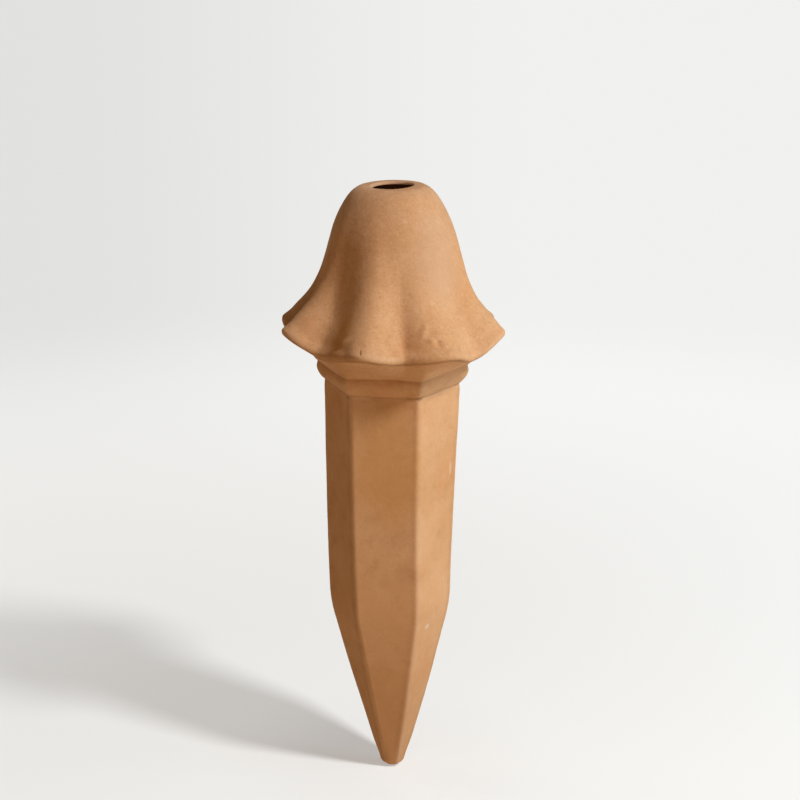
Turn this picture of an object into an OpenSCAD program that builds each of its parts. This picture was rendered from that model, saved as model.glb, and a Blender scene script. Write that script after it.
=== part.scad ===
// Self watering spike of unglazed terracotta: a hollow bell hood with a ruffled skirt, on a hollow
// six-sided stake. Water is poured in at the crown and seeps out through the clay below the soil.
// The origin is the tip of the point, +Z is up, and -Y is the front.

/* [Stake] */
// Height of the tapering point, from the tip to the shoulder
point_h = 60; // [45:1:110]
// Width across the sharp corners that the point would have at its very tip
tip_w = 8.6; // [6:0.2:12]
// Height over which the end of the point is rounded off
tip_round_h = 1.8; // [1:0.2:6]
// Height of the solid clay between the tip and the hollow
tip_solid_h = 17; // [14:0.5:30]
// Width across the corners at the shoulder, where the point meets the stem
foot_w = 40.5; // [34:0.5:46]
// Half length of the soft bend from the stem to the point
shoulder_soft = 6; // [1:0.5:12]
// Height of the six-sided stem
stem_h = 75.8; // [40:0.2:160]
// Width across the corners at the top of the stem
stem_w = 45; // [40:0.2:52]
// Rounding of the six corners at the top of the stem
corner_r = 2.5; // [1.5:0.25:6]
// Rounding of the six corners at the shoulder
foot_corner_r = 1.8; // [1:0.1:5]
// Turn of the six flats at the top, seen from above: the front flat looks this far to the left
stem_turn = 7; // [0:0.5:59]
// How far the flats twist back between the top of the stem and the shoulder
stem_twist = 4; // [0:0.5:10]
// Sideways bow of the stake near the middle of its height
stem_bow = 0.9; // [0:0.1:2]

/* [Collar] */
// Height of the rounded band between the stem and the hood
band_h = 6; // [4:0.2:12]
// How far the band stands out from the stem
band_out = 2.6; // [1:0.1:4]
// Depth of the creases above and below the band
crease_d = 0.5; // [0.2:0.1:1.5]

/* [Hood] */
// Height from the top of the band to the crown
hood_h = 58.2; // [45:0.2:90]
// Height of the rim above the top of the band
rim_h = 11.8; // [9:0.2:18]
// Width of the skirt at the rim, halfway between its crests and its dips
rim_w = 68.4; // [62:0.2:100]
// Thickness of the rounded rim
rim_t = 3.6; // [3:0.1:5]
// How far a usual crest of the folds reaches out past the mean rim
fold_out = 2.4; // [0.5:0.1:4]
// How far a usual dip of the folds falls below the mean rim
fold_drop = 2.4; // [0.5:0.1:4]
// Bore of the fill hole in the crown
mouth_d = 13; // [8:0.5:16]
// Width of the rounded lip round the fill hole
mouth_lip = 0.9; // [0.5:0.1:1.5]
// Thickness that the clay thins to at the edge of the fill hole
mouth_t = 1.4; // [1:0.1:3]
// How much lower the left side of the fill hole sits than the right
mouth_lean = 0.5; // [0:0.1:2]

/* [Clay] */
// Thickness of the clay wall
wall = 4; // [3:0.25:5]
// Thickness of the slip that bonds two sections of clay
slip_t = 0.4; // [0.2:0.1:0.8]
// Height of the step that centres one section in the next
step_h = 2; // [1:0.25:3]

/* [Hidden] */

// Facets round a ring of the hood, and steps round each corner of the stake
hood_sides = 72;
corner_steps = 5;
// Rings along the hood's skin, round its rim, along its floor and along its inner wall
skin_rings = 24;
rim_rings = 4;
floor_rings = 6;
inner_rings = 14;
// Rings along the stem, and along the point's flats and its rounded end
stem_rings = 6;
point_rings = 12;
tip_rings = 5;
// Facets of the bored fill hole
bore_facets = 96;
// Overrun of the bore past the clay
overrun = 1;

// Levels up the axis, from the tip
stem_z = point_h;
band_z = stem_z + stem_h;
floor_z = band_z + band_h;
rim_z = floor_z + rim_h;
crown_z = floor_z + hood_h;

// Profile of the bell from the lip of the mouth down to the rim: shares of the way out from the
// lip to the rim, and of the way up from the rim to the crown
bell_shares = [[0, 1], [0.12, 0.99], [0.23, 0.94], [0.335, 0.845], [0.425, 0.725], [0.485, 0.6],
               [0.54, 0.47], [0.605, 0.345], [0.705, 0.22], [0.85, 0.105], [1, 0]];
// Folds round the rim, a dip and a crest by turns: direction in degrees from the front towards
// the right, share of fold_out, share of fold_drop, the share of the way down the bell at which
// the fold begins, and how round its dip or crest is, where less than 1 is crisper
fold_shares = [[-46, -1.3, -1.1, 0.2, 1.2], [-16, 1.1, 0.1, 0.22, 1],
               [6.5, -1.5, -0.8, 0.4, 0.75], [29.5, 0.7, -0.2, 0.36, 1],
               [53, -0.9, -1.5, 0.32, 0.75], [74.5, 1, 0.6, 0.32, 1],
               [98, -0.9, -1, 0.32, 0.9], [119.5, 1.2, 0.2, 0.32, 1],
               [143, -1.1, -1.1, 0.26, 0.75], [164.5, 1.1, 0.2, 0.3, 1],
               [187.5, -1.1, -1.1, 0.32, 0.9], [209.5, 1.1, 0.3, 0.3, 1],
               [232, -1.1, -1.1, 0.25, 0.8], [254.5, 1.1, 0.8, 0.3, 1],
               [272, -0.8, -0.8, 0.32, 0.9], [293, 1.2, 1.3, 0.32, 1],
               [314, -1.3, -1.1, 0.2, 1.2]];
// How slowly the folds grow down the bell
fold_growth = 1.7;
// Turn of the rounded rim from the skin to the underside, and the angle at which it starts
rim_sweep = 120;
rim_lean = -30;
// Section of the collar band: shares of its height and of how far it stands out
band_shares = [[0, 0.04], [0.14, 0.2], [0.34, 0.58], [0.54, 0.87], [0.76, 1], [1, 0.95]];
// Where the inner wall of the hood starts below the crown and stops above the floor
hollow_top_share = 0.08;
hollow_end_share = 0.86;
// The corner of the hollow inside the rim, in walls inwards and downwards
hollow_corner_shares = [1.23, 0.1];
// Section of the floor, from the rim to the collar: shares of the way in and of the way down
floor_shares = [[0, 0], [0.25, 0.2], [0.5, 0.43], [0.72, 0.66], [0.86, 0.82], [0.94, 0.92], [1, 1]];
// Direction in which the floor leaves the rim
floor_way = [-0.66, -0.75];
// How far down the bell the wall takes to reach its full thickness
thin_share = 0.3;
// How fast the lean of the mouth fades down the bell
lean_fade = 8;
// Clay left inside the fill hole for the bore to trim
bore_trim = 0.3;
// Width of the foot of the hollow as a share of the hollow just above it
hollow_foot_share = 0.6;
// Width of the flat left on the very tip, and the most that a corner's rounding takes of a width
tip_flat_share = 0.1;
corner_share = 0.13;
// Step along the bell between the two points that give its slope
slope_share = 0.01;
// Angles along the rounded lip, from the bore to where it meets the bell
lip_angles = [180, 150, 120];

hex_flat = cos(30);
rim_r = rim_w / 2;
lip_r = mouth_d / 2 + mouth_lip;
mouth_tilt = atan(mouth_lean / 2 / lip_r);
hollow_foot_z = tip_solid_h + wall / 2;
clay = "#c68a58";
clay_dark = "#b97b4a";
slip = "#a96c40";

// Direction in the plane at an angle from the front, towards the right
function heading(a) = [sin(a), -cos(a)];
// Sideways place of the axis at a height
function axis_x(z) = -stem_bow * pow(sin(180 * min(max(z / rim_z, 0), 1)), 2);
function smooth_min(a, b, k) = min(a, b) - pow(max(k - abs(a - b), 0), 2) / (4 * k);

// Point of a smooth curve through a list of points, t from 0 at its start to 1 at its end
function past_end(pts, i) =
    i < 0 ? 2 * pts[0] - pts[1]
    : i >= len(pts) ? 2 * pts[len(pts) - 1] - pts[len(pts) - 2]
    : pts[i];
function curve(pts, t) =
    let (x = t * (len(pts) - 1), i = min(floor(x), len(pts) - 2), u = x - i,
         a = past_end(pts, i - 1), b = pts[i], c = pts[i + 1], d = past_end(pts, i + 2))
    b + (c - a) * u / 2 + (2 * a - 5 * b + 4 * c - d) * pow(u, 2) / 2
      + (3 * b - a - 3 * c + d) * pow(u, 3) / 2;

// Width of the stake across its corners, outside and inside
bend_soft = shoulder_soft * ((foot_w - tip_w) / point_h - (stem_w - foot_w) / stem_h);
function stake_line_w(z) =
    smooth_min(foot_w + (stem_w - foot_w) * (z - stem_z) / stem_h,
               tip_w + (foot_w - tip_w) * z / point_h, bend_soft);
function stake_w(z) =
    z >= tip_round_h ? stake_line_w(z)
    : stake_line_w(z) * sqrt(max(1 - pow(1 - z / tip_round_h, 2), pow(tip_flat_share, 2)));
function inner_w(w) = w - 2 * wall / hex_flat;
function up_stem(z) = min(max((z - stem_z) / stem_h, 0), 1);
function corner_at(w, z) =
    min(foot_corner_r + (corner_r - foot_corner_r) * up_stem(z), w * corner_share);
function turn_at(z) = stem_turn - stem_twist * (1 - up_stem(z));

// Outline of the rounded six-sided section with the width w across its sharp corners
function hex_ring(w, z) =
    let (r = corner_at(w, z), reach = w / 2 - r / hex_flat)
    [for (k = [0:5], j = [0:corner_steps])
        let (mid = 60 * k + 30 - turn_at(z),
             p = reach * heading(mid) + r * heading(mid - 30 + 60 * j / corner_steps))
        [p[0] + axis_x(z), p[1], z]];
// The section at the top of the stem and above, as a radius at the angle a
function hex_radius(w, a) =
    let (r = corner_at(w, band_z), flat = w / 2 * hex_flat, reach = w / 2 - r / hex_flat,
         t = (a + stem_turn + 390) % 60 - 30,
         side = abs(t), edge = atan(reach / 2 / flat))
    side <= edge ? flat / cos(side)
    : reach * cos(30 - side) + sqrt(pow(r, 2) - pow(reach * sin(30 - side), 2));

// A solid skinned over rings of points: a tube that closes on its first ring, or a capped stack.
// Each four-sided patch is split along its shorter diagonal, so that two sections that meet share
// the same facets.
module skinned(rings, tube = true) {
    n = len(rings[0]);
    m = len(rings);
    points = [for (ring = rings) each ring];
    sides = [for (j = [0:(tube ? m : m - 1) - 1], i = [0:n - 1])
        let (a = j * n + i, b = j * n + (i + 1) % n,
             c = ((j + 1) % m) * n + i, d = ((j + 1) % m) * n + (i + 1) % n)
        each norm(points[a] - points[d]) < norm(points[b] - points[c])
            ? [[a, b, d], [a, d, c]] : [[a, b, c], [b, d, c]]];
    caps = tube ? [] : [[for (i = [n - 1:-1:0]) i], [for (i = [0:n - 1]) (m - 1) * n + i]];
    polyhedron(points = points, faces = concat(sides, caps));
}

// Widths across the corners of the collar, the hollow and the steps of the joints
band_top_w = stem_w + 2 * band_out * band_shares[len(band_shares) - 1][1];
function hollow_w(z) =
    z < band_z ? inner_w(stake_w(z))
    : inner_w(stem_w + 2 * band_out * min((z - band_z) / band_h, 1));
function step_w(z) = (stake_w(z) + hollow_w(z)) / 2;
function socket_w(z) = step_w(z) + 2 * slip_t / hex_flat;

// Rings of the stake's outer wall going down, and of its hollow going up
function outer_rings(top, foot, count) =
    [for (j = [0:count]) let (z = top + (foot - top) * j / count) hex_ring(stake_w(z), z)];
function hollow_rings(foot, top, count) =
    [for (j = [0:count]) let (z = foot + (top - foot) * j / count) hex_ring(hollow_w(z), z)];
// Rings of the socket under a section that stands on the joint at z, and of the step below it
function socket_rings(z) =
    [hex_ring(socket_w(z), z + slip_t), hex_ring(socket_w(z), z + slip_t + step_h)];
function step_rings(z) = [hex_ring(step_w(z), z + step_h), hex_ring(step_w(z), z)];

// Folds: how far the skin is moved out and up at the angle a
function fold_at(a, i = 0) = a < fold_shares[i + 1][0] ? i : fold_at(a, i + 1);
function climb(w, dip, crest) = 1 - pow(1 - pow(w, dip), crest);
function fold_shift(t, a) =
    let (i = fold_at(a), from = fold_shares[i], to = fold_shares[i + 1],
         w = (1 - cos(180 * (a - from[0]) / (to[0] - from[0]))) / 2,
         share = from + (to - from) * w,
         rise = from[1] < to[1] ? climb(w, from[4], to[4]) : 1 - climb(1 - w, to[4], from[4]),
         grown = pow(max(t - share[3], 0) / (1 - share[3]), fold_growth))
    grown * [(from[1] + (to[1] - from[1]) * rise) * fold_out, share[2] * fold_drop];

// Section of the hood at the angle a, as [radius, height]: t runs from the lip to the rim
bell = [for (s = bell_shares)
    [lip_r + s[0] * (rim_r - lip_r), rim_z + s[1] * (crown_z - rim_z)]];
function bell_out(t) =
    let (d = curve(bell, t + slope_share) - curve(bell, t - slope_share)) [-d[1], d[0]] / norm(d);
function wall_at(t) = mouth_t + (wall - mouth_t) * min(t / thin_share, 1);
function lean_z(t, a) = mouth_lean / 2 * (sin(a) - 1) * pow(1 - t, lean_fade);
function skin(t, a) = curve(bell, t) + fold_shift(t, a) + [0, lean_z(t, a)];
function rim_edge(u, a) =
    let (b = rim_lean + u * rim_sweep)
    skin(1, a) + rim_t / 2 * [cos(b) - cos(rim_lean), sin(rim_lean) - sin(b)];
function rim_foot(a) = rim_edge(1, a);
function hollow_corner(a) = skin(1, a) - wall * hollow_corner_shares;
function mouth_edge(b, a) =
    [lip_r, crown_z - bore_trim - mouth_lip + lean_z(0, a)]
        + (mouth_lip + bore_trim) * [cos(b), sin(b)];
// Section of the hood's floor, u from the rim to the collar
function floor_under(u, a) =
    let (from = rim_foot(a) + slip_t * floor_way,
         to = [hex_radius(band_top_w, a), floor_z + slip_t],
         s = curve(floor_shares, u))
    [from[0] + (to[0] - from[0]) * s[0], from[1] + (to[1] - from[1]) * s[1]];
function floor_top(u, a) =
    let (from = hollow_corner(a) + slip_t * floor_way,
         to = [hex_radius(hollow_w(floor_z), a), floor_z + slip_t + step_h])
    from + (to - from) * u;

// A ring of the hood from a section's points, one for each angle
ring_angles = [for (i = [0:hood_sides - 1]) fold_shares[0][0] + 360 * i / hood_sides];
function around(points) = [for (i = [0:hood_sides - 1])
    let (r = points[i][0], z = points[i][1], p = r * heading(ring_angles[i]))
    [p[0] + axis_x(z), p[1], z]];
function each_angle(f) = around([for (a = ring_angles) f(a)]);

module hood_shell() {
    color(clay) difference() {
        skinned(concat(
            [for (b = lip_angles) each_angle(function(a) mouth_edge(b, a))],
            [for (j = [0:skin_rings]) each_angle(function(a) skin(j / skin_rings, a))],
            [for (j = [1:rim_rings]) each_angle(function(a) rim_edge(j / rim_rings, a))],
            [each_angle(function(a) hollow_corner(a))],
            [for (j = [0:inner_rings])
                let (t = hollow_end_share + (hollow_top_share - hollow_end_share) * j / inner_rings)
                each_angle(function(a) skin(t, a) - wall_at(t) * bell_out(t))],
            [each_angle(function(a) [mouth_d / 2 - bore_trim, crown_z - mouth_t + lean_z(0, a)])]));
        translate([0, 0, crown_z - mouth_lean / 2])
            rotate([0, -mouth_tilt, 0])
                translate([0, 0, -2 * wall])
                    cylinder(d = mouth_d, h = 2 * wall + overrun, $fn = bore_facets);
    }
}

module hood_floor() {
    color(clay_dark) skinned(concat(
        [for (j = [0:floor_rings]) each_angle(function(a) floor_under(j / floor_rings, a))],
        [each_angle(function(a) [hex_radius(hollow_w(floor_z), a), floor_z + slip_t])],
        [for (j = [floor_rings:-1:0]) each_angle(function(a) floor_top(j / floor_rings, a))]));
}

module collar_band() {
    foot_z = band_z + slip_t;
    color(clay) skinned(concat(
        [for (i = [len(band_shares) - 1:-1:0])
            hex_ring(stem_w + 2 * band_out * band_shares[i][1],
                     foot_z + (band_h - slip_t) * band_shares[i][0])],
        socket_rings(band_z),
        hollow_rings(foot_z + step_h, floor_z, 1)));
}

module stem_tube() {
    color(clay) skinned(concat(
        outer_rings(band_z, stem_z + slip_t, stem_rings),
        socket_rings(stem_z),
        hollow_rings(stem_z + slip_t + step_h, band_z + step_h, stem_rings),
        step_rings(band_z)));
}

module spike_point() {
    color(clay) skinned(concat(
        [hex_ring(hollow_w(tip_solid_h) * hollow_foot_share, tip_solid_h)],
        hollow_rings(hollow_foot_z, stem_z + step_h, point_rings),
        step_rings(stem_z),
        outer_rings(stem_z, tip_round_h, point_rings),
        [for (j = [1:tip_rings])
            let (z = tip_round_h * (1 - sin(90 * j / tip_rings))) hex_ring(stake_w(z), z)]),
        tube = false);
}

module rim_slip_seam() {
    color(slip) skinned([
        each_angle(function(a) rim_foot(a)),
        each_angle(function(a) floor_under(0, a)),
        each_angle(function(a) floor_top(0, a)),
        each_angle(function(a) hollow_corner(a))]);
}

module collar_slip_seam() {
    w = band_top_w - 2 * crease_d;
    color(slip) skinned([
        hex_ring(w, floor_z + slip_t), hex_ring(w, floor_z),
        hex_ring(hollow_w(floor_z), floor_z), hex_ring(hollow_w(floor_z), floor_z + slip_t)]);
}

// The slip that fills a stepped joint at the height z, where the outside is drawn in by crease
module stepped_seam(z, crease) {
    color(slip) skinned(concat(
        [hex_ring(stake_w(z) - 2 * crease, z + slip_t), hex_ring(stake_w(z) - 2 * crease, z)],
        [hex_ring(step_w(z), z), hex_ring(step_w(z), z + step_h)],
        hollow_rings(z + step_h, z + step_h + slip_t, 1),
        [for (i = [1:-1:0]) socket_rings(z)[i]]));
}
module neck_slip_seam() {
    stepped_seam(band_z, crease_d);
}
module point_slip_seam() {
    stepped_seam(stem_z, 0);
}

hood_shell();
hood_floor();
collar_band();
stem_tube();
spike_point();
rim_slip_seam();
collar_slip_seam();
neck_slip_seam();
point_slip_seam();
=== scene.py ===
"""Self watering spike of unglazed terracotta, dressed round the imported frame."""
import math

import bpy
import numpy as np
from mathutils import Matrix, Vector


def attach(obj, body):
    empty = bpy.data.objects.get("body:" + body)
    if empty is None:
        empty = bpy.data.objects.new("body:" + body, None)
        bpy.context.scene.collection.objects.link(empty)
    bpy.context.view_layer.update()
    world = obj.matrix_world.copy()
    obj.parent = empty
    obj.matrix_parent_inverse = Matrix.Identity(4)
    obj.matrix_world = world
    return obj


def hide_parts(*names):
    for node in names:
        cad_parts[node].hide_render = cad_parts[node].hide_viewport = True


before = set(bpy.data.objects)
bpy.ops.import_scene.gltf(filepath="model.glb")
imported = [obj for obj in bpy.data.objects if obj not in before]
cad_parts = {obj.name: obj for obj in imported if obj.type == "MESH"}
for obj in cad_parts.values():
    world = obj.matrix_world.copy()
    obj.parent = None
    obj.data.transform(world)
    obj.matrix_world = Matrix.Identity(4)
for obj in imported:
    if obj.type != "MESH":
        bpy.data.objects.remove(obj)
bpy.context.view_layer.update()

# Sizes of the clay are in millimetres. Scuffs, shader ranges, lamps and the camera are in metres
MM = 0.001

# Stake
POINT_H = 60
TIP_W = 8.6
TIP_ROUND_H = 1.8
TIP_SOLID_H = 17
FOOT_W = 40.5
SHOULDER_SOFT = 6
STEM_H = 75.8
STEM_W = 45
CORNER_R = 2.5
FOOT_CORNER_R = 1.8
CORNER_SHARE = 0.13
STEM_TURN = 7
STEM_TWIST = 4
STEM_BOW = 0.9
# Degrees from one flat of the stake to the next
FLAT_STEP = 60
# Collar
BAND_H = 6
BAND_OUT = 2.6
BAND_SHARES = [[0, 0.04], [0.14, 0.2], [0.34, 0.58], [0.54, 0.87], [0.76, 1], [1, 0.95]]
BAND_STEPS = 200
# Hood
HOOD_H = 58.2
RIM_H = 11.8
RIM_W = 68.4
RIM_T = 3.6
FOLD_OUT = 2.4
FOLD_DROP = 2.4
MOUTH_D = 13
MOUTH_LIP = 0.9
MOUTH_T = 1.4
MOUTH_LEAN = 0.5
LEAN_FADE = 8
# Degrees round the lip of the fill hole from its inner side to the bell
LIP_ARC = [180, 96]
# Thickness to which the edge of the fill hole is worn
EDGE_T = 0.95
BELL_SHARES = [[0, 1], [0.12, 0.99], [0.23, 0.94], [0.335, 0.845], [0.425, 0.725], [0.485, 0.6],
               [0.54, 0.47], [0.605, 0.345], [0.705, 0.22], [0.85, 0.105], [1, 0]]
# Share of the bell on either side of a place between which its slope is taken
SLOPE_SHARE = 0.01
# Folds round the rim, a dip and a crest by turns: direction in degrees from the front towards the
# right, share of FOLD_OUT, share of FOLD_DROP, where down the bell the fold begins, and how round
# its dip or crest is, where less than 1 is crisper
FOLD_SHARES = [[-46, -1.3, -1.1, 0.2, 1.2], [-16, 1.1, 0.1, 0.22, 1],
               [6.5, -1.5, -0.8, 0.4, 0.75], [29.5, 0.7, -0.2, 0.36, 1],
               [53, -0.9, -1.5, 0.32, 0.75], [74.5, 1, 0.6, 0.32, 1],
               [98, -0.9, -1, 0.32, 0.9], [119.5, 1.2, 0.2, 0.32, 1],
               [143, -1.1, -1.1, 0.26, 0.75], [164.5, 1.1, 0.2, 0.3, 1],
               [187.5, -1.1, -1.1, 0.32, 0.9], [209.5, 1.1, 0.3, 0.3, 1],
               [232, -1.1, -1.1, 0.25, 0.8], [254.5, 1.1, 0.8, 0.3, 1],
               [272, -0.8, -0.8, 0.32, 0.9], [293, 1.2, 1.3, 0.32, 1],
               [314, -1.3, -1.1, 0.2, 1.2]]
FOLD_GROWTH = 1.7
RIM_SWEEP = 120
RIM_LEAN = -30
FLOOR_SHARES = [[0, 0], [0.25, 0.2], [0.5, 0.43], [0.72, 0.66], [0.86, 0.82], [0.94, 0.92], [1, 1]]
FLOOR_WAY = [-0.66, -0.75]
# Hollow
HOLLOW_TOP_SHARE = 0.08
HOLLOW_END_SHARE = 0.86
HOLLOW_CORNER_SHARES = [1.23, 0.1]
HOLLOW_FOOT_SHARE = 0.6
THIN_SHARE = 0.3
NECK_H = 2
# Clay
WALL = 4
SLIP_T = 0.4
# A distance too small to show
HAIR = 0.001

# Levels up the axis, from the tip
STEM_Z = POINT_H
BAND_Z = STEM_Z + STEM_H
FLOOR_Z = BAND_Z + BAND_H
RIM_Z = FLOOR_Z + RIM_H
CROWN_Z = FLOOR_Z + HOOD_H
HEX_FLAT = math.cos(math.radians(FLAT_STEP / 2))
LIP_R = MOUTH_D / 2 + MOUTH_LIP
BELL = [[LIP_R + s[0] * (RIM_W / 2 - LIP_R), RIM_Z + s[1] * (CROWN_Z - RIM_Z)] for s in BELL_SHARES]

# Points round a ring, rows of each section of the outside and of the inside, and a distance beyond any
SIDES = 360
ANGLES = np.arange(SIDES) * 360 / SIDES
LIP_ROWS = 9
BELL_ROWS = 190
RIM_ROWS = 24
FLOOR_ROWS = 70
BAND_ROWS = 32
STEM_ROWS = 169
POINT_ROWS = 119
TIP_ROWS = 13
INNER_BELL_ROWS = 60
INNER_FLOOR_ROWS = 11
INNER_BAND_ROWS = 4
INNER_STEM_ROWS = 39
INNER_POINT_ROWS = 23
FAR = 999
SHARP_ANGLE = 40

# Waves: least and most of them over one bump's size, and the divisor that brings their sum to about 1
WAVE_SPREAD = [0.6, 1.5]
WAVE_PEAK = 1.6
# Unevenness of the skin, coarse to fine: depth, size of the bumps, seed, and how many waves make it
UNEVENNESS = [[0.12, 26, 3, 24], [0.05, 7, 5, 24], [0.018, 1.7, 8, 40]]
# Ridges along a line: half width, height, how much the height varies, size of that, and seed
RIM_BEAD = [1.1, 0.4, 0.1, 14, 21]
RIM_GROOVE = [1.4, 0.26, 0.1, 11, 22]
RIM_FINGERS = [5, 0, 0.07, 5, 23]
# How far up the skin from the rim each of these lies
RIM_BEAD_UP = 0.5
RIM_GROOVE_UP = 3.1
RIM_FINGERS_UP = 4
# Half width in degrees of the front, where the bead and groove are full, and their share elsewhere
RIM_FRONT_WIDE = 24
RIM_BACK_SHARE = 0.35
# Slip lines of the collar: level and seed, how far they wander, and the size of the wandering
SLIP_LINES = [[FLOOR_Z + SLIP_T / 2, 31], [BAND_Z + SLIP_T / 2, 32]]
SLIP_WANDER = 0.22
SLIP_WAVE = 13
# Bead and crease of a slip line: half width, height, how much the height varies, size of that, and
# what is added to the line's seed
SLIP_BEAD = [0.45, 0.12, 0.06, 9, 2]
SLIP_CREASE = [0.34, 0.14, 0.08, 7, 4]
SLIP_BEAD_UP = 0.95
SLIP_HOLLOW = 0.1
SLIP_HOLLOW_WIDE = 1.1
# Lumps of the band: height, size, seed, and how they are flattened
LUMP_H = 0.12
LUMP_SIZE = 6
LUMP_SEED = 35
LUMP_WAY = [1, 1, 1.6]
# Fuller right side of the bell, fuller point, and drawn-in rim: how far, where, and half widths
SIDE_OUT = 0.6
SIDE_ANGLE = 82
SIDE_WIDE = 48
SIDE_Z = 178
SIDE_H = 12
POINT_OUT = 0.3
POINT_OUT_Z = 34
POINT_OUT_H = 15
RIM_IN = 0.16
RIM_IN_H = 6
# Wear of the tip, and more at its corners
TIP_WEAR = 0.28
TIP_WEAR_Z = 2
TIP_WEAR_H = 6
TIP_CORNER_WEAR = 0.3
TIP_CORNER_WIDE = 1.4
TIP_FLAT_H = 0.8
# Dents and ridges of the hood: direction in degrees, height above the tip, half width, half length,
# slant in degrees, and how far it stands out
DENTS = [[-29, 155.8, 2.6, 0.6, -38, 0.5], [-24.5, 153.4, 3.2, 1.5, 0, -0.55],
         [-15.2, 154.7, 0.35, 0.9, 8, -0.3], [-5, 154.2, 6, 0.9, 8, 0.2],
         [3.5, 153.4, 1, 1.8, 0, 0.3], [-60, 152.6, 5, 1.5, 30, 0.5], [7.8, 155.5, 1.6, 4, 0, -0.25],
         [15.5, 161, 3.2, 10, 4, 0.5], [19, 158.8, 0.8, 2.4, 30, 0.45],
         [22, 157, 1.5, 0.7, 10, 0.5], [25.6, 156.1, 1, 0.8, 0, -0.6],
         [32, 154.2, 0.8, 3.6, 62, 0.3], [40, 160, 4, 5, 0, -0.25],
         [-55, 158, 3.5, 4.5, 20, 0.25], [74, 157.8, 3, 1.8, 0, 0.4]]

# Half widths of the worn corners of the stake and of the painted highlight along the rim, and where that
# is past the rim
WORN_CORNER_WIDE = 0.75
RIM_HIGHLIGHT_WIDE = 0.8
RIM_HIGHLIGHT_UP = -0.5
# Strength of the corner wear, of the painted highlight along the rim, and of the painted shade and
# darker bands: level, how much it varies, size of that, and seed
WORN_CORNER = [0.6, 0.4, 15, 42]
RIM_HIGHLIGHT = [0.2, 0.15, 12, 41]
SHADE_AND_BAND = [0.7, 0.3, 6, 43]
# Lobes of the rim where the painted highlight is strongest: direction and half width in degrees, and how
# much more
HIGHLIGHT_LOBES = [[-4, 14], [-62, 10]]
HIGHLIGHT_LOBE = 0.8
# Painted highlight along the edge under the collar, a ridge like those of the rim, and its height from
# the stem's top
NECK_HIGHLIGHT = [0.35, 0.6, 0.4, 11, 44]
NECK_HIGHLIGHT_UP = -0.45
# Painted shade in the slip lines, a darker band beside the corners of the stake, and painted shade on
# the underside, past the rim
PAINTED_SHADE_LINE = 0.6
PAINTED_SHADE_LINE_WIDE = 0.4
DARK_BAND = 0.4
DARK_BAND_ASIDE = -1.5
DARK_BAND_WIDE = 0.8
PAINTED_SHADE_UNDER = 1.2
PAINTED_SHADE_UNDER_START = 1.5
PAINTED_SHADE_UNDER_GROWTH = 0.7

# Tints of the clay
PALE = (0.64, 0.305, 0.132, 1)
MID = (0.59, 0.265, 0.104, 1)
DEEP = (0.39, 0.16, 0.05, 1)
RED = (0.62, 0.235, 0.083, 1)
DULL = (0.45, 0.22, 0.11, 1)
# Pale tint of dusty freckles and specks, also of the worn corners and of the painted highlights along
# the rim, the edge under the collar and the lip
PALE_DUST_AND_HIGHLIGHT = (0.74, 0.48, 0.29, 1)
# Dark tint of the painted shade in the slip lines and under the rim, and of the darker bands beside the
# stake's corners
SHADE_AND_BAND_TINT = (0.22, 0.085, 0.032, 1)
# Dark tint of the painted shade inside the hollow
INSIDE_SHADE = (0.30, 0.12, 0.05, 1)
SHEEN = (1.0, 0.88, 0.72, 1)
# Shares of the tints for wear and painted highlight, for painted shade and darker bands, and for the
# painted shade inside
WEAR_AND_HIGHLIGHT_SHARE = 0.26
SHADE_AND_BAND_SHARE = 0.45
INSIDE_SHADE_SHARE = 0.7
# Noises of the clay: scale, detail and roughness
CLOUD_NOISE = [40, 4, 0.55]
RED_NOISE = [70, 3, 0.6]
RED_NOISE_SHIFT = (0.3, 0.1, 0.2)
PATCH_NOISE = [150, 4, 0.6]
FRECKLE_NOISE = [430, 3, 0.65]
GRAIN_NOISE = [1350, 3, 0.7]
TINT_PATCH_NOISE = [900, 3, 0.7]
# Ramps over a noise or over the height: from, to, and what they give there and there
CLOUD_RAMP = [0.38, 0.64, 0.0, 1.0]
RED_RAMP = [0.54, 0.72, 0.0, 0.3]
POINT_RAMP = [0.0, 0.07, 0.34, 0.0]
CROWN_RAMP = [0.165, 0.195, 0.0, 0.25]
PATCH_RAMP = [0.52, 0.74, 0.0, 0.22]
FRECKLE_RAMP = [0.52, 0.70, 0.0, 0.2]
PALE_FRECKLE_RAMP = [0.46, 0.30, 0.0, 0.15]
PIT_RAMP = [0.52, 0.68, 0.0, 0.32]
SPECK_RAMP = [0.45, 0.32, 0.0, 0.2]
STAKE_GRAIN_RAMP = [0.02, 0.11, 0.5, 1.0]
HOOD_GRAIN_RAMP = [0.136, 0.15, 0.5, 1.0]
ROUGHNESS_RAMP = [0.3, 0.7, 0.74, 0.9]
# Share of the fine grain in the bump, and the bump's strength and depth
GRAIN_SHARE = 0.6
BUMP_STRENGTH = 0.4
BUMP_DEPTH = 0.00025
# How ragged a tint patch is, and where its edge fades out, in half sizes
TINT_PATCH_RAGGED = 0.9
TINT_PATCH_FADE = [0.9, 1.6]
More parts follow.
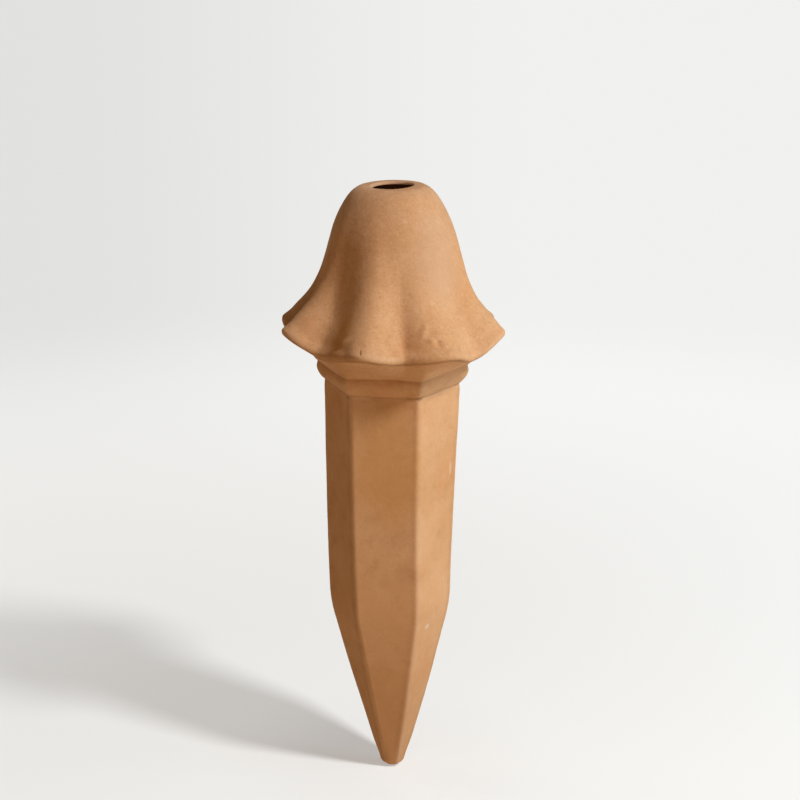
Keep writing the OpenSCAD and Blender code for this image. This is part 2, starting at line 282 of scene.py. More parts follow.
# Marks and painted light: place, half sizes, tint and strength. Most are scuffs, a nick, spots and
# reddish patches of the clay; the few marked below are painted light
MARKS_AND_PAINTED_LIGHT = [[(0.0116, -0.0118, 0.0553), (0.0013, 0.002, 0.0011), (0.76, 0.54, 0.37, 1), 0.4],
          [(0.0186, -0.0047, 0.1083), (0.0006, 0.0012, 0.0030), (0.74, 0.52, 0.35, 1), 0.35],
          [(0.0086, -0.0201, 0.1358), (0.0013, 0.002, 0.0007), (0.24, 0.075, 0.015, 1), 0.5],
          [(-0.0140, -0.0168, 0.1353), (0.0011, 0.002, 0.0007), (0.28, 0.09, 0.02, 1), 0.35],
          # Painted shade in the hollow where the rim of the left front curls under
          [(-0.0141, -0.0313, 0.1542), (0.0042, 0.004, 0.0020), (0.32, 0.13, 0.045, 1), 0.28],
          [(-0.0096, -0.0346, 0.1546), (0.00035, 0.003, 0.0009), (0.12, 0.04, 0.012, 1), 0.75],
          [(0.0146, -0.0290, 0.1566), (0.0008, 0.003, 0.0005), (0.25, 0.10, 0.04, 1), 0.4],
          [(0.0024, -0.0187, 0.0883), (0.0045, 0.002, 0.0042), (0.38, 0.16, 0.06, 1), 0.17],
          [(0.0040, -0.0185, 0.0762), (0.0040, 0.002, 0.0040), (0.38, 0.16, 0.06, 1), 0.17],
          # These two are painted shade in the deep fold left of the front, warm and saturated as light
          # bounced between the folds leaves it
          [(-0.0165, -0.0255, 0.1590), (0.0050, 0.006, 0.0110), (0.58, 0.23, 0.04, 1), 0.5],
          [(-0.0225, -0.0235, 0.1630), (0.0060, 0.006, 0.0110), (0.56, 0.22, 0.05, 1), 0.4],
          [(-0.0020, -0.0205, 0.1130), (0.0140, 0.006, 0.0230), (0.58, 0.235, 0.055, 1), 0.45],
          # Painted sheen: a paler patch down the lit right side of the hood
          [(0.0150, -0.0160, 0.1800), (0.0110, 0.010, 0.0200), (0.56, 0.30, 0.16, 1), 0.4],
          [(-0.0266, -0.0160, 0.1585), (0.003, 0.003, 0.0032), (0.62, 0.24, 0.09, 1), 0.35],
          [(0.0340, -0.0110, 0.1556), (0.0022, 0.003, 0.0022), (0.68, 0.28, 0.12, 1), 0.35]]

# Camera
CAMERA_PLACE = (0, -0.600, 0.308)
CAMERA_DOWN = 16.568
CAMERA_LENS = 87.17
CAMERA_SENSOR = 36
CAMERA_SHIFT = 0.0094
CAMERA_NEAR = 0.01
# Lamps: name, degrees around from the right towards the camera, degrees up from the floor, distance,
# size, energy and colour
LAMPS = [["key", 36, 46, 1.15, 0.17, 15.2, (0.68, 0.80, 0.96)],
         ["side", 8, 0, 0.9, 0.5, 5.8, (0.36, 0.68, 1.0)],
         ["front", 84, 8, 0.9, 0.5, 0.9, (1.0, 0.68, 0.36)],
         ["back", 208, 14, 0.9, 0.5, 1.0, (1.0, 0.86, 0.66)]]
# Place that the lamps aim at
SPIKE_MIDDLE = Vector((0, 0, 0.1))
# World as the clay is lit by it and as it is seen
SKY_LIT = (0.084, 0.069, 0.048, 1)
SKY_SEEN = (0.86, 0.86, 0.84, 1)
# Floor: its size, its colour for the light it throws back, left and right, and its colour as seen
FLOOR_SIZE = 12
FLOOR_LEFT = (0.64, 0.48, 0.32, 1)
FLOOR_RIGHT = (0.94, 0.81, 0.63, 1)
FLOOR_SEEN = (0.99, 0.86, 0.71, 1)
# Glow of the floor as seen: left and right behind the spike, close to it, and in front of it
GLOW_LEFT = (0.755, 0.755, 0.74, 1)
GLOW_RIGHT = (0.875, 0.875, 0.86, 1)
GLOW_NEAR = (1.11, 1.11, 1.10, 1)
GLOW_FRONT = (0.6, 0.6, 0.59, 1)
# How far in front of the tip the place is from which the glow's left and right fan out
GLOW_FAN = 0.6
# Ramps over a place or a distance on the floor: from, to, and what they give there and there
ACROSS_RAMP = [-0.15, 0.15, 0.0, 1.0]
FAN_RAMP = [-0.2, 0.08, 0.0, 1.0]
NEAR_RAMP = [0.0, 0.7, 0.0, 1.0]
FRONT_RAMP = [-0.5, 0.0, 0.4, 0.0]
GLOW_NEAR_RAMP = [0.01, 0.07, 0.33, 0.42]
GLOW_FAR_RAMP = [0.05, 0.55, 0.0, 0.58]

# Pieces: name, node that it replaces, section of the grids, and slot
PIECES = [["hood_bell", "hood_shell", "hood", "clay"],
          ["hood_underside", "hood_floor", "floor", "clay"],
          ["collar_ring", "collar_band", "band", "clay"],
          ["stem_body", "stem_tube", "stem", "clay"],
          ["point_body", "spike_point", "point", "clay"],
          ["rim_joint", "rim_slip_seam", "rim_seam", "slip"],
          ["collar_joint", "collar_slip_seam", "collar_seam", "slip"],
          ["neck_joint", "neck_slip_seam", "neck_seam", "slip"],
          ["point_joint", "point_slip_seam", "point_seam", "slip"]]


def turn(degrees):
    return np.sin(np.radians(degrees)), np.cos(np.radians(degrees))


def from_angle(angle):
    """Degrees from a direction to each point of a ring, between -180 and 180."""
    return (ANGLES[None] - angle + 180) % 360 - 180


def steps(start, end, count):
    """Equal steps to the end, without the start."""
    return np.linspace(start, end, count + 1)[1:]


def curve(points, t):
    """Points of a smooth curve through a list of points, t from 0 at its start to 1 at its end."""
    pts = np.array(points, float)
    pts = np.vstack([2 * pts[0] - pts[1], pts, 2 * pts[-1] - pts[-2]])
    x = np.asarray(t, float) * (len(points) - 1)
    i = np.clip(np.floor(x).astype(int), 0, len(points) - 2)
    u = (x - i)[..., None]
    a, b, c, d = pts[i], pts[i + 1], pts[i + 2], pts[i + 3]
    return (b + (c - a) * u / 2 + (2 * a - 5 * b + 4 * c - d) * u ** 2 / 2
            + (3 * b - a - 3 * c + d) * u ** 3 / 2)


def smooth_min(a, b, k):
    return np.minimum(a, b) - np.maximum(k - np.abs(a - b), 0) ** 2 / (4 * k)


def axis_x(z):
    return -STEM_BOW * np.sin(np.pi * np.clip(z / RIM_Z, 0, 1)) ** 2


def stake_w(z):
    """Width of the stake across its sharp corners."""
    soft = SHOULDER_SOFT * ((FOOT_W - TIP_W) / POINT_H - (STEM_W - FOOT_W) / STEM_H)
    w = smooth_min(FOOT_W + (STEM_W - FOOT_W) * (z - STEM_Z) / STEM_H,
                   TIP_W + (FOOT_W - TIP_W) * z / POINT_H, soft)
    return w * np.sqrt(1 - np.clip(1 - z / TIP_ROUND_H, 0, 1) ** 2)


def inner_w(w):
    return w - 2 * WALL / HEX_FLAT


def hollow_w(z):
    band = STEM_W + 2 * BAND_OUT * np.clip((z - BAND_Z) / BAND_H, 0, 1)
    return inner_w(np.where(z < BAND_Z, stake_w(z), band))


def up_stem(z):
    """Share of the way up the stem, 0 on the point."""
    return np.clip((z - STEM_Z) / STEM_H, 0, 1)


def stake_angle(z):
    """Each point's direction from the middle of a flat of the turned and twisted stake."""
    return ANGLES + STEM_TURN - STEM_TWIST * (1 - up_stem(z))


def from_corner(z):
    """Degrees from the nearest corner of the stake."""
    return stake_angle(z) % FLAT_STEP - FLAT_STEP / 2


def hex_radius(w, z):
    """Radius of the rounded six-sided section round its ring, for its width across the corners."""
    r = min(FOOT_CORNER_R + (CORNER_R - FOOT_CORNER_R) * up_stem(z), w * CORNER_SHARE)
    flat = w / 2 * HEX_FLAT
    reach = w / 2 - r / HEX_FLAT
    side = np.abs((stake_angle(z) + FLAT_STEP / 2) % FLAT_STEP - FLAT_STEP / 2)
    edge = np.degrees(np.arctan(reach / 2 / np.maximum(flat, 1e-6)))
    s, c = turn(FLAT_STEP / 2 - side)
    rounded = reach * c + np.sqrt(np.maximum(r ** 2 - (reach * s) ** 2, 0))
    return np.where(side <= edge, flat / turn(side)[1], rounded)


def climb(w, dip, crest):
    return 1 - (1 - w ** dip) ** crest


def fold_shift(t):
    """How far the skin is moved out and up, for each t and angle."""
    folds = np.array(FOLD_SHARES)
    a = (ANGLES - folds[0, 0]) % 360 + folds[0, 0]
    i = np.clip(np.searchsorted(folds[:, 0], a, side="right") - 1, 0, len(folds) - 2)
    start, end = folds[i], folds[i + 1]
    w = (1 - np.cos(np.pi * (a - start[:, 0]) / (end[:, 0] - start[:, 0]))) / 2
    share = start + (end - start) * w[:, None]
    rise = np.where(start[:, 1] < end[:, 1], climb(w, start[:, 4], end[:, 4]),
                    1 - climb(1 - w, end[:, 4], start[:, 4]))
    out = start[:, 1] + (end[:, 1] - start[:, 1]) * rise
    grown = (np.maximum(t[:, None] - share[:, 3], 0) / (1 - share[:, 3])) ** FOLD_GROWTH
    return grown[..., None] * np.stack([out * FOLD_OUT, share[:, 2] * FOLD_DROP], 1)


def bell_out(t):
    """Outward direction of the bell's section, without its folds."""
    d = curve(BELL, t + SLOPE_SHARE) - curve(BELL, t - SLOPE_SHARE)
    return np.stack([-d[:, 1], d[:, 0]], 1) / np.linalg.norm(d, axis=1)[:, None]


def lean_z(t):
    """How far the left side of the mouth sits below the crown, for each t and angle."""
    fade = np.clip(1 - t, 0, 1) ** LEAN_FADE
    return MOUTH_LEAN / 2 * (turn(ANGLES)[0] - 1)[None] * fade[:, None]


def skin(t):
    """Section of the hood as (radius, height) for each t, 0 at the lip and 1 at the rim."""
    t = np.atleast_1d(np.asarray(t, float))
    out = curve(BELL, t)[:, None] + fold_shift(t)
    out[..., 1] += lean_z(t)
    return out


def rim_edge(u):
    """Rows round the edge of the rim, for each u, 0 at the bell and 1 at the slip joint."""
    s, c = turn(RIM_LEAN + np.asarray(u, float) * RIM_SWEEP)
    s0, c0 = turn(RIM_LEAN)
    return skin(1) + RIM_T / 2 * np.stack([c - c0, s0 - s], 1)[:, None]


def blend_rows(start, end, shares):
    """Rows from the row start to the row end, by shares of the way in and of the way down."""
    return start[None] + (end - start)[None] * np.asarray(shares, float)[:, None, :]


def hex_row(w, z):
    return np.stack([hex_radius(w, z), np.full(SIDES, float(z))], 1)


def hex_rows(width, levels):
    return np.stack([hex_row(width(z), z) for z in levels])


def lip_rows():
    s, c = turn(np.linspace(*LIP_ARC, LIP_ROWS))
    rows = np.stack([LIP_R + MOUTH_LIP * c, CROWN_Z - MOUTH_LIP + MOUTH_LIP * s], 1)
    rows = np.repeat(rows[:, None], SIDES, 1)
    rows[..., 1] += lean_z(np.zeros(1))
    return rows


def floor_start():
    return rim_edge([1])[0] + SLIP_T * np.array(FLOOR_WAY)


def band_w(z):
    share = curve(BAND_SHARES, np.linspace(0, 1, BAND_STEPS))
    return STEM_W + 2 * BAND_OUT * np.interp((z - BAND_Z) / BAND_H, share[:, 0], share[:, 1])


def stack_sections(sections):
    """All rows of the sections, and each one's first and last. It starts on the last row before it."""
    rows, spans, at = [], {}, 0
    for name, part in sections:
        spans[name] = (max(at - 1, 0), at + len(part) - 1)
        rows.append(part)
        at += len(part)
    return np.concatenate(rows), spans


def outer_skin():
    """The whole outside from the mouth to the tip as one grid, and the rows of each section."""
    hood = [lip_rows(), skin(np.linspace(0, 1, BELL_ROWS)), rim_edge(steps(0, 1, RIM_ROWS))]
    floor_end = hex_row(STEM_W + 2 * BAND_OUT * BAND_SHARES[-1][1], FLOOR_Z + SLIP_T)
    floor_shares = curve(FLOOR_SHARES, steps(0, 1, FLOOR_ROWS))
    tip_levels = TIP_ROUND_H * (1 - turn(steps(0, 90, TIP_ROWS))[0])
    point_levels = np.concatenate([steps(STEM_Z, TIP_ROUND_H, POINT_ROWS), tip_levels])
    return stack_sections([
        ("hood", np.concatenate(hood)),
        ("rim_seam", floor_start()[None]),
        ("floor", blend_rows(floor_start(), floor_end, floor_shares)),
        ("collar_seam", hex_rows(band_w, [FLOOR_Z])),
        ("band", hex_rows(band_w, steps(FLOOR_Z, BAND_Z + SLIP_T, BAND_ROWS))),
        ("neck_seam", hex_rows(stake_w, [BAND_Z])),
        ("stem", hex_rows(stake_w, steps(BAND_Z, STEM_Z + SLIP_T, STEM_ROWS))),
        ("point_seam", hex_rows(stake_w, [STEM_Z])),
        ("point", hex_rows(stake_w, point_levels))])


def hollow_hood():
    """Rows inside the hood from the worn edge of the fill hole to its lowest corner."""
    edge = np.repeat(np.array([[[MOUTH_D / 2, CROWN_Z - EDGE_T]]]), SIDES, 1)
    edge[..., 1] += lean_z(np.zeros(1))
    t = np.linspace(HOLLOW_TOP_SHARE, HOLLOW_END_SHARE, INNER_BELL_ROWS)
    wall = MOUTH_T + (WALL - MOUTH_T) * np.minimum(t / THIN_SHARE, 1)
    inside = skin(t) - (wall[:, None] * bell_out(t))[:, None]
    corner = skin(1)[0] - WALL * np.array(HOLLOW_CORNER_SHARES)
    return np.concatenate([edge, inside, corner[None]])


def hollow_skin():
    """The whole inside from the mouth to the foot of the hollow, in the same sections."""
    hood = hollow_hood()
    under = hood[-1] + SLIP_T * np.array(FLOOR_WAY)
    neck = hex_row(hollow_w(FLOOR_Z), FLOOR_Z + SLIP_T + NECK_H)
    floor_shares = steps(0, 1, INNER_FLOOR_ROWS)[:, None].repeat(2, 1)
    floor_rows = [blend_rows(under, neck, floor_shares), hex_rows(hollow_w, [FLOOR_Z + SLIP_T])]
    stem_top = BAND_Z - HAIR
    foot = hex_row(hollow_w(TIP_SOLID_H) * HOLLOW_FOOT_SHARE, TIP_SOLID_H)
    point_levels = steps(STEM_Z, TIP_SOLID_H + WALL / 2, INNER_POINT_ROWS)
    return stack_sections([
        ("hood", hood),
        ("rim_seam", under[None]),
        ("floor", np.concatenate(floor_rows)),
        ("collar_seam", hex_rows(hollow_w, [FLOOR_Z])),
        ("band", hex_rows(hollow_w, steps(FLOOR_Z, BAND_Z + SLIP_T, INNER_BAND_ROWS))),
        ("neck_seam", hex_rows(hollow_w, [stem_top])),
        ("stem", hex_rows(hollow_w, steps(stem_top, STEM_Z + SLIP_T, INNER_STEM_ROWS))),
        ("point_seam", hex_rows(hollow_w, [STEM_Z])),
        ("point", np.concatenate([hex_rows(hollow_w, point_levels), foot[None]]))])


def to_space(grid):
    """Rows of (radius, height) as points in millimetres."""
    s, c = turn(ANGLES)
    r, z = grid[..., 0], grid[..., 1]
    return np.stack([r * s[None] + axis_x(z), -r * c[None], z], -1)


def normals_of(points):
    down = np.gradient(points, axis=0)
    ahead = np.roll(points, -1, 1) - np.roll(points, 1, 1)
    n = np.cross(down, ahead)
    return n / np.maximum(np.linalg.norm(n, axis=-1, keepdims=True), 1e-9)


def waves(points, size, seed, count=24):
    """Smooth unevenness between about -1 and 1, with bumps of about the given size."""
    rng = np.random.default_rng(seed)
    ways = rng.normal(size=(count, 3))
    ways /= np.linalg.norm(ways, axis=1)[:, None]
    ways *= (2 * np.pi / size * rng.uniform(*WAVE_SPREAD, count))[:, None]
    phases = rng.uniform(0, 2 * np.pi, count)
    total = np.zeros(points.shape[:-1])
    for way, phase in zip(ways, phases):
        total += np.sin(points @ way + phase)
    return np.clip(total / math.sqrt(count) / WAVE_PEAK, -1, 1)


def uneven(points, level, vary, size, seed):
    """A level that varies smoothly over the skin."""
    return level + vary * waves(points, size, seed)


def hump(distance, wide):
    return np.exp(-(distance / wide) ** 2)


def ridge(points, off, wide, high, vary, size, seed):
    """Height of an uneven ridge along the line where off is 0."""
    return hump(off, wide) * uneven(points, high, vary, size, seed)


def above_rim(points, hood_end):
    """Distance up the skin from the rim, less than 0 past it, and far below for the other rows."""
    rim = hood_end - RIM_ROWS
    step = np.linalg.norm(np.diff(points, axis=0, prepend=points[:1]), axis=-1)
    down = np.cumsum(step, axis=0)
    up = down[rim] - down
    up[hood_end + 1:] = -FAR
    return up


def above_slip(points, level, seed):
    """Height above a slip line, which wanders a little."""
    return points[..., 2] - level - SLIP_WANDER * waves(points, SLIP_WAVE, seed)


def beside_corner(points):
    """Distance round the stake from its nearest corner."""
    z = points[..., 2]
    return np.radians(from_corner(z)) * np.hypot(points[..., 0] - axis_x(z), points[..., 1])


def dent_height(points, angle, level, across, along, slant, high):
    """Height that one dent or ridge adds to the hood."""
    aside = np.radians(from_angle(angle)) * np.hypot(points[..., 0], points[..., 1])
    rise = points[..., 2] - level
    s, c = turn(slant)
    return high * hump(aside * c - rise * s, across) * hump(rise * c + aside * s, along)


def rim_marks(points, up):
    """Height of the rolled edge, the finger marks along it and the dents on the front folds."""
    front = RIM_BACK_SHARE + (1 - RIM_BACK_SHARE) * hump(from_angle(0), RIM_FRONT_WIDE)
    bead = ridge(points, up - RIM_BEAD_UP, *RIM_BEAD)
    groove = ridge(points, up - RIM_GROOVE_UP, *RIM_GROOVE)
    height = (bead - groove) * front + ridge(points, up - RIM_FINGERS_UP, *RIM_FINGERS)
    for dent in DENTS:
        height += dent_height(points, *dent)
    return height * (up > -FAR)


def slip_marks(points, level, seed):
    """Height of the bead and the crease that one slip line leaves."""
    off = above_slip(points, level, seed)
    bead_seed, crease_seed = seed + SLIP_BEAD[-1], seed + SLIP_CREASE[-1]
    bead = ridge(points, off - SLIP_BEAD_UP, *SLIP_BEAD[:-1], bead_seed)
    crease = ridge(points, off, *SLIP_CREASE[:-1], crease_seed)
    return bead - crease - SLIP_HOLLOW * hump(off, SLIP_HOLLOW_WIDE)


def collar_marks(points, up):
    """Height of the slip lines' marks round the collar and of the lumps of its band."""
    near = hump(points[..., 2] - BAND_Z - BAND_H / 2, BAND_H)
    height = LUMP_H * near * waves(points * LUMP_WAY, LUMP_SIZE, LUMP_SEED)
    for level, seed in SLIP_LINES:
        height += slip_marks(points, level, seed)
    return height * (up == -FAR)


def full_places(z, up):
    """Height of the bell's fuller right side and of the fuller point, less the drawn-in rim."""
    side = SIDE_OUT * hump(from_angle(SIDE_ANGLE), SIDE_WIDE) * hump(z - SIDE_Z, SIDE_H)
    return side + POINT_OUT * hump(z - POINT_OUT_Z, POINT_OUT_H) - RIM_IN * hump(up, RIM_IN_H)


def tip_wear(z):
    """Depth of the wear round the tip, most at its corners."""
    aside = np.radians(from_corner(z)) * stake_w(z) / 2
    return (TIP_WEAR + TIP_CORNER_WEAR * hump(aside, TIP_CORNER_WIDE)) * hump(z - TIP_WEAR_Z, TIP_WEAR_H)


def handmade(points, hood_end):
    """Makes the outer skin uneven, as hands and the mould leave it."""
    z = points[..., 2]
    up = above_rim(points, hood_end)
    height = rim_marks(points, up) + collar_marks(points, up) + full_places(z, up) - tip_wear(z)
    for depth, size, seed, count in UNEVENNESS:
        height -= depth * (1 + waves(points, size, seed, count)) / 2
    height *= np.clip(z / TIP_FLAT_H, 0, 1)
    return points + normals_of(points) * height[..., None]


def wear_and_highlight_tone(points, up):
    """Wear along the stake's corners, a painted highlight along the rim and along the edge under the
    collar, and the fill hole's lip, worn pale and painted as a highlight.
    """
    z = points[..., 2]
    corner = hump(beside_corner(points), WORN_CORNER_WIDE) * (z < FLOOR_Z)
    # Painted highlight along the rolled rim, strongest on the front and left lobes
    lobes = sum(hump(from_angle(angle), wide) for angle, wide in HIGHLIGHT_LOBES)
    rim = uneven(points, *RIM_HIGHLIGHT) + HIGHLIGHT_LOBE * lobes
    rim *= hump(up - RIM_HIGHLIGHT_UP, RIM_HIGHLIGHT_WIDE) * (up > -FAR)
    # Painted highlight along the top edge of the stem just under the collar
    edges = ridge(points, z - BAND_Z - NECK_HIGHLIGHT_UP, *NECK_HIGHLIGHT)
    # The whole lip of the fill hole is made pale: wear, and a painted highlight where it catches the
    # light
    edges[:LIP_ROWS] = 1
    return corner * uneven(points, *WORN_CORNER) + rim + edges


def shade_and_band_tone(points, up):
    """Painted shade in the slip lines, a darker band beside the stake's corners, and painted shade on
    the underside past the rim.
    """
    # Painted shade along the slip lines round the collar
    lines = sum(hump(above_slip(points, *line), PAINTED_SHADE_LINE_WIDE) for line in SLIP_LINES)
    tone = PAINTED_SHADE_LINE * lines * (up == -FAR)
    # A darker band beside one side of each corner of the stake
    beside = hump(beside_corner(points) - DARK_BAND_ASIDE, DARK_BAND_WIDE)
    tone += DARK_BAND * beside * (points[..., 2] < BAND_Z)
    # Painted shade on the underside past the rolled rim
    under = np.clip((-up - PAINTED_SHADE_UNDER_START) / PAINTED_SHADE_UNDER_GROWTH, 0, 1)
    tone += PAINTED_SHADE_UNDER * under * (up > -FAR)
    return tone * uneven(points, *SHADE_AND_BAND)


def skin_tones(points, hood_end):
    """Wear and painted highlight, painted shade and darker bands, and painted shade inside, each from 0
    to 1, for the outer skin.
    """
    up = above_rim(points, hood_end)
    tones = [wear_and_highlight_tone(points, up), shade_and_band_tone(points, up), np.zeros_like(up)]
    return np.clip(np.stack(tones, -1), 0, 1)


def ring_faces(count, sides, closed):
    """Faces between each ring of points and the next, and from the last to the first if closed."""
    j = np.arange(count if closed else count - 1)[:, None]
    i = np.arange(sides)[None]
    below, ahead = (j + 1) % count, (i + 1) % sides
    corners = [j * sides + i, below * sides + i, below * sides + ahead, j * sides + ahead]
    return np.stack(corners, -1).reshape(-1, 4).tolist()


def make_mesh(name, rows, tones, capped):
    """A closed mesh from rings of points, which either meet again or are capped at both ends."""
    count, sides = rows.shape[:2]
    faces = ring_faces(count, sides, not capped)
    if capped:
        faces += [list(range(sides))[::-1], list(range((count - 1) * sides, count * sides))]
    mesh = bpy.data.meshes.new(name)
    mesh.from_pydata((rows.reshape(-1, 3) * MM).tolist(), [], faces)
    mesh.update()
    mesh.validate()
    mesh.polygons.foreach_set("use_smooth", np.ones(len(mesh.polygons), bool))
    mesh.set_sharp_from_angle(angle=math.radians(SHARP_ANGLE))
    marks = mesh.attributes.new("marks", "FLOAT_COLOR", "POINT")
    alpha = np.ones((count * sides, 1))
    marks.data.foreach_set("color", np.hstack([tones.reshape(-1, 3), alpha]).ravel())
    piece = bpy.data.objects.new(name, mesh)
    bpy.context.scene.collection.objects.link(piece)
    return piece


def section_rows(side, part):
    rows, tones, spans = side
    first, last = spans[part]
    return rows[first:last + 1], tones[first:last + 1]


def make_section(name, node, part, outside, inside):
    """One piece from its rows of the outside and of the inside. The point has a solid end."""
    capped = part == "point"
    outer, inner = section_rows(outside, part), [grid[::-1] for grid in section_rows(inside, part)]
    pairs = zip(inner, outer) if capped else zip(outer, inner)
    rows, tones = (np.concatenate(pair) for pair in pairs)
    piece = make_mesh(name, rows, tones, capped)
    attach(piece, "root")
    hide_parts(node)
    return piece


class Nodes:
    """Adds nodes to a shader tree. An input is a socket to link or a constant to set."""

    def __init__(self, tree):
        self.tree = tree

    def put(self, node, inputs):
        for key, value in inputs.items():
            if isinstance(value, bpy.types.NodeSocket):
                self.tree.links.new(value, node.inputs[key])
            else:
                node.inputs[key].default_value = value

    def add(self, kind, inputs, **settings):
        node = self.tree.nodes.new(kind)
        for key, value in settings.items():
            setattr(node, key, value)
        self.put(node, inputs)
        return node

    def noise(self, place, scale, detail, rough):
        return self.add("ShaderNodeTexNoise", {"Vector": place, "Scale": scale, "Detail": detail,
                                               "Roughness": rough}).outputs[0]

    def ramp(self, value, low, high, to_low, to_high):
        return self.add("ShaderNodeMapRange", {"Value": value, "From Min": low, "From Max": high,
                                               "To Min": to_low, "To Max": to_high},
                        interpolation_type="SMOOTHSTEP").outputs[0]

    def mix(self, factor, a, b):
        return self.add("ShaderNodeMix", {0: factor, 6: a, 7: b}, data_type="RGBA").outputs[2]

    def math(self, kind, a, b):
        return self.add("ShaderNodeMath", {0: a, 1: b}, operation=kind).outputs[0]

    def times(self, a, b):
        return self.math("MULTIPLY", a, b)

    def length(self, vector):
        return self.add("ShaderNodeVectorMath", {0: vector}, operation="LENGTH").outputs[1]


def tint_patch(n, place, colour, centre, size, tint, strength):
    """A small ragged patch of another tint round a place on the clay."""
    away = n.add("ShaderNodeVectorMath", {0: place, 1: centre}, operation="SUBTRACT").outputs[0]
    away = n.add("ShaderNodeVectorMath", {0: away, 1: size}, operation="DIVIDE").outputs[0]
    ragged = n.math("ADD", n.length(away), n.times(n.noise(place, *TINT_PATCH_NOISE), TINT_PATCH_RAGGED))
    return n.mix(n.ramp(ragged, *TINT_PATCH_FADE, strength, 0.0), colour, tint)


def clay_clouds(n, place, up, patch):
    """Soft mottling, darker towards the tip and duller towards the crown."""
    clouds = n.noise(place, *CLOUD_NOISE)
    moved = n.add("ShaderNodeMapping", {0: place, 1: RED_NOISE_SHIFT}).outputs[0]
    colour = n.mix(n.ramp(clouds, *CLOUD_RAMP), MID, PALE)
    colour = n.mix(n.ramp(n.noise(moved, *RED_NOISE), *RED_RAMP), colour, RED)
    colour = n.mix(n.ramp(up, *POINT_RAMP), colour, DEEP)
    colour = n.mix(n.ramp(up, *CROWN_RAMP), colour, DULL)
    return n.mix(n.ramp(patch, *PATCH_RAMP), colour, DEEP)


def clay_grain(n, colour, rough, freckle, grain):
    """Freckles, pits and specks of the clay, where it is rough."""
    colour = n.mix(n.times(rough, n.ramp(freckle, *FRECKLE_RAMP)), colour, DEEP)
    colour = n.mix(n.times(rough, n.ramp(freckle, *PALE_FRECKLE_RAMP)), colour, PALE_DUST_AND_HIGHLIGHT)
    colour = n.mix(n.times(rough, n.ramp(grain, *PIT_RAMP)), colour, DEEP)
    return n.mix(n.times(rough, n.ramp(grain, *SPECK_RAMP)), colour, PALE_DUST_AND_HIGHLIGHT)


def clay_marks(n, place, colour):
    """Tints from the mesh for wear and painted highlight, for painted shade and darker bands, and for
    the painted shade inside, then the patches: marks of the clay and a few of painted light.
    """
    tones = n.add("ShaderNodeAttribute", {}, attribute_name="marks").outputs[0]
    marks = n.add("ShaderNodeSeparateColor", {0: tones}).outputs
    for tone, share, tint in zip(marks, (WEAR_AND_HIGHLIGHT_SHARE, SHADE_AND_BAND_SHARE, INSIDE_SHADE_SHARE), (PALE_DUST_AND_HIGHLIGHT, SHADE_AND_BAND_TINT, INSIDE_SHADE)):
        colour = n.mix(n.times(tone, share), colour, tint)
    for centre, size, tint, strength in MARKS_AND_PAINTED_LIGHT:
        colour = tint_patch(n, place, colour, centre, size, tint, strength)
    return colour


def clay_material(name):
    """Unglazed terracotta: soft mottling, fine grain, worn edges, a few scuffs, and a matte skin, with
    painted highlights and painted shade from the mesh tones and a few painted patches of shade and
    sheen.
    """
    mat = bpy.data.materials.new(name)
    mat.use_nodes = True
    n = Nodes(mat.node_tree)
    place = n.add("ShaderNodeTexCoord", {}).outputs["Object"]
    up = n.add("ShaderNodeSeparateXYZ", {0: place}).outputs[2]
    rough = n.times(n.ramp(up, *STAKE_GRAIN_RAMP), n.ramp(up, *HOOD_GRAIN_RAMP))
    patch = n.noise(place, *PATCH_NOISE)
    freckle = n.noise(place, *FRECKLE_NOISE)
    grain = n.noise(place, *GRAIN_NOISE)
    colour = clay_grain(n, clay_clouds(n, place, up, patch), rough, freckle, grain)
    height = n.times(rough, n.math("ADD", n.times(grain, GRAIN_SHARE), freckle))
    bump = n.add("ShaderNodeBump", {"Height": height, "Strength": BUMP_STRENGTH, "Distance": BUMP_DEPTH})
    n.put(mat.node_tree.nodes["Principled BSDF"], {
        "Base Color": clay_marks(n, place, colour), "Roughness": n.ramp(patch, *ROUGHNESS_RAMP),
        "Specular IOR Level": 0.06, "Sheen Weight": 0.05, "Sheen Roughness": 0.5, "Sheen Tint": SHEEN,
        "Normal": bump.outputs[0]})
    return mat


def make_camera():
    data = bpy.data.cameras.new("camera")
    camera = bpy.data.objects.new("camera", data)
    bpy.context.scene.collection.objects.link(camera)
    camera.location = CAMERA_PLACE
    camera.rotation_euler = (math.radians(90 - CAMERA_DOWN), 0, 0)
    data.lens = CAMERA_LENS
    data.sensor_width = CAMERA_SENSOR
    data.shift_x = CAMERA_SHIFT
    data.clip_start = CAMERA_NEAR
    bpy.context.scene.camera = camera


def make_lamp(name, around, up, reach, size, energy, colour):
    """A round area lamp aimed at the middle of the spike."""
    (side, ahead), (rise, level) = turn(around), turn(up)
    place = SPIKE_MIDDLE + reach * Vector((level * ahead, -level * side, rise))
    light = bpy.data.lights.new(name, "AREA")
    light.shape = "DISK"
    light.size = size
    light.energy = energy
    light.color = colour
    lamp = bpy.data.objects.new(name, light)
    bpy.context.scene.collection.objects.link(lamp)
    lamp.visible_camera = False
    lamp.location = place
    lamp.rotation_euler = (SPIKE_MIDDLE - place).to_track_quat("-Z", "Y").to_euler()


def seen_directly(n):
    """1 for camera, glossy and transmission rays, and 0 for the rays that light the clay."""
    path = n.add("ShaderNodeLightPath", {})
    either = n.math("MAXIMUM", path.outputs["Is Camera Ray"], path.outputs["Is Glossy Ray"])
    return n.math("MAXIMUM", either, path.outputs["Is Transmission Ray"])


def make_world():
    world = bpy.data.worlds.new("studio")
    bpy.context.scene.world = world
    world.use_nodes = True
    n = Nodes(world.node_tree)
    n.put(world.node_tree.nodes["Background"], {0: n.mix(seen_directly(n), SKY_LIT, SKY_SEEN)})


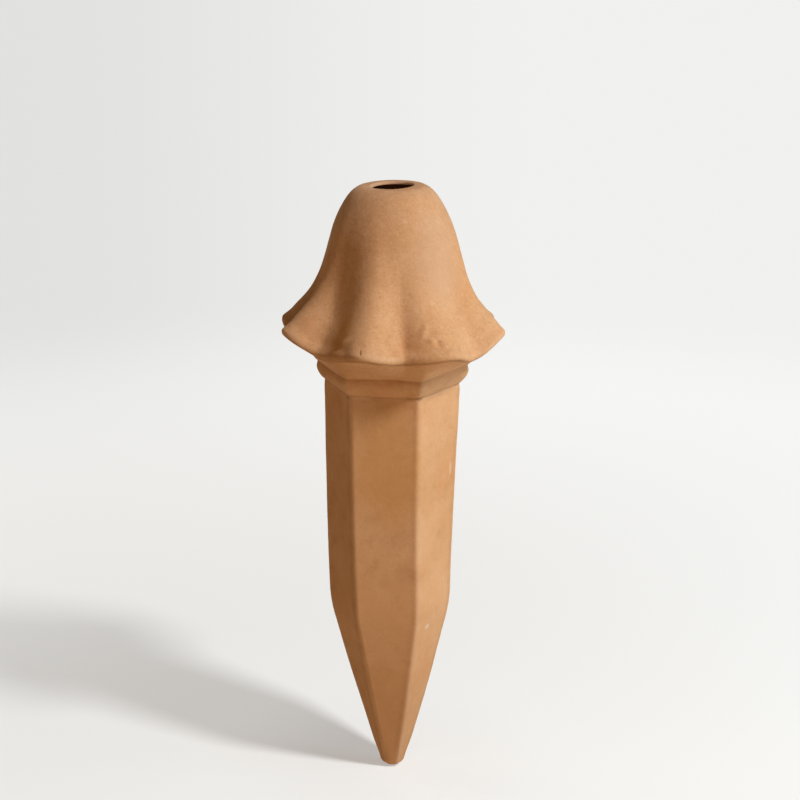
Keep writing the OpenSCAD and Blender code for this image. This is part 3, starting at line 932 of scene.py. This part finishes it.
def floor_glow(n, x, y, away):
    """Tone of the floor as seen, brighter to the right and near the tip, and darker in front."""
    fan = n.math("DIVIDE", x, n.math("ADD", n.math("MAXIMUM", y, 0.0), GLOW_FAN))
    tone = n.mix(n.ramp(fan, *FAN_RAMP), GLOW_LEFT, GLOW_RIGHT)
    tone = n.mix(n.ramp(away, *NEAR_RAMP), GLOW_NEAR, tone)
    tone = n.mix(n.ramp(y, *FRONT_RAMP), tone, GLOW_FRONT)
    return n.add("ShaderNodeEmission", {"Color": tone, "Strength": 1.0}).outputs[0]


def floor_material(name):
    """Pale matte floor that keeps the shadow near the spike and turns to an even glow further off."""
    mat = bpy.data.materials.new(name)
    mat.use_nodes = True
    n = Nodes(mat.node_tree)
    shader = mat.node_tree.nodes["Principled BSDF"]
    place = n.add("ShaderNodeNewGeometry", {}).outputs["Position"]
    x, y = n.add("ShaderNodeSeparateXYZ", {0: place}).outputs[:2]
    away = n.length(place)
    seen = seen_directly(n)
    lit = n.mix(n.ramp(x, *ACROSS_RAMP), FLOOR_LEFT, FLOOR_RIGHT)
    n.put(shader, {"Base Color": n.mix(seen, lit, FLOOR_SEEN), "Roughness": 0.9,
                   "Specular IOR Level": 0.0})
    share = n.math("ADD", n.ramp(away, *GLOW_NEAR_RAMP), n.ramp(away, *GLOW_FAR_RAMP))
    both = n.add("ShaderNodeMixShader", {0: n.times(seen, share), 1: shader.outputs[0],
                                         2: floor_glow(n, x, y, away)})
    n.put(mat.node_tree.nodes["Material Output"], {0: both.outputs[0]})
    return mat


def make_floor():
    bpy.ops.mesh.primitive_plane_add(size=FLOOR_SIZE, location=(0, 0, 0))
    floor = bpy.context.object
    floor.name = "studio_floor"
    floor.data.materials.append(floor_material("studio_floor"))


def make_spike():
    rows, spans = outer_skin()
    points, hood_end = to_space(rows), spans["hood"][1]
    outside = (handmade(points, hood_end), skin_tones(points, hood_end), spans)
    inner, inner_spans = hollow_skin()
    # Every inner row is fully given the painted shade of the inside
    inner_tones = np.broadcast_to([0.0, 0.0, 1.0], inner.shape[:2] + (3,))
    inside = (to_space(inner), inner_tones, inner_spans)
    clay = clay_material("terracotta")
    for name, node, part, slot in PIECES:
        piece = make_section(name, node, part, outside, inside)
        piece.data.materials.append(clay)


make_camera()
for lamp in LAMPS:
    make_lamp(*lamp)
make_world()
make_floor()
make_spike()
view = bpy.context.scene.view_settings
view.view_transform = "Standard"
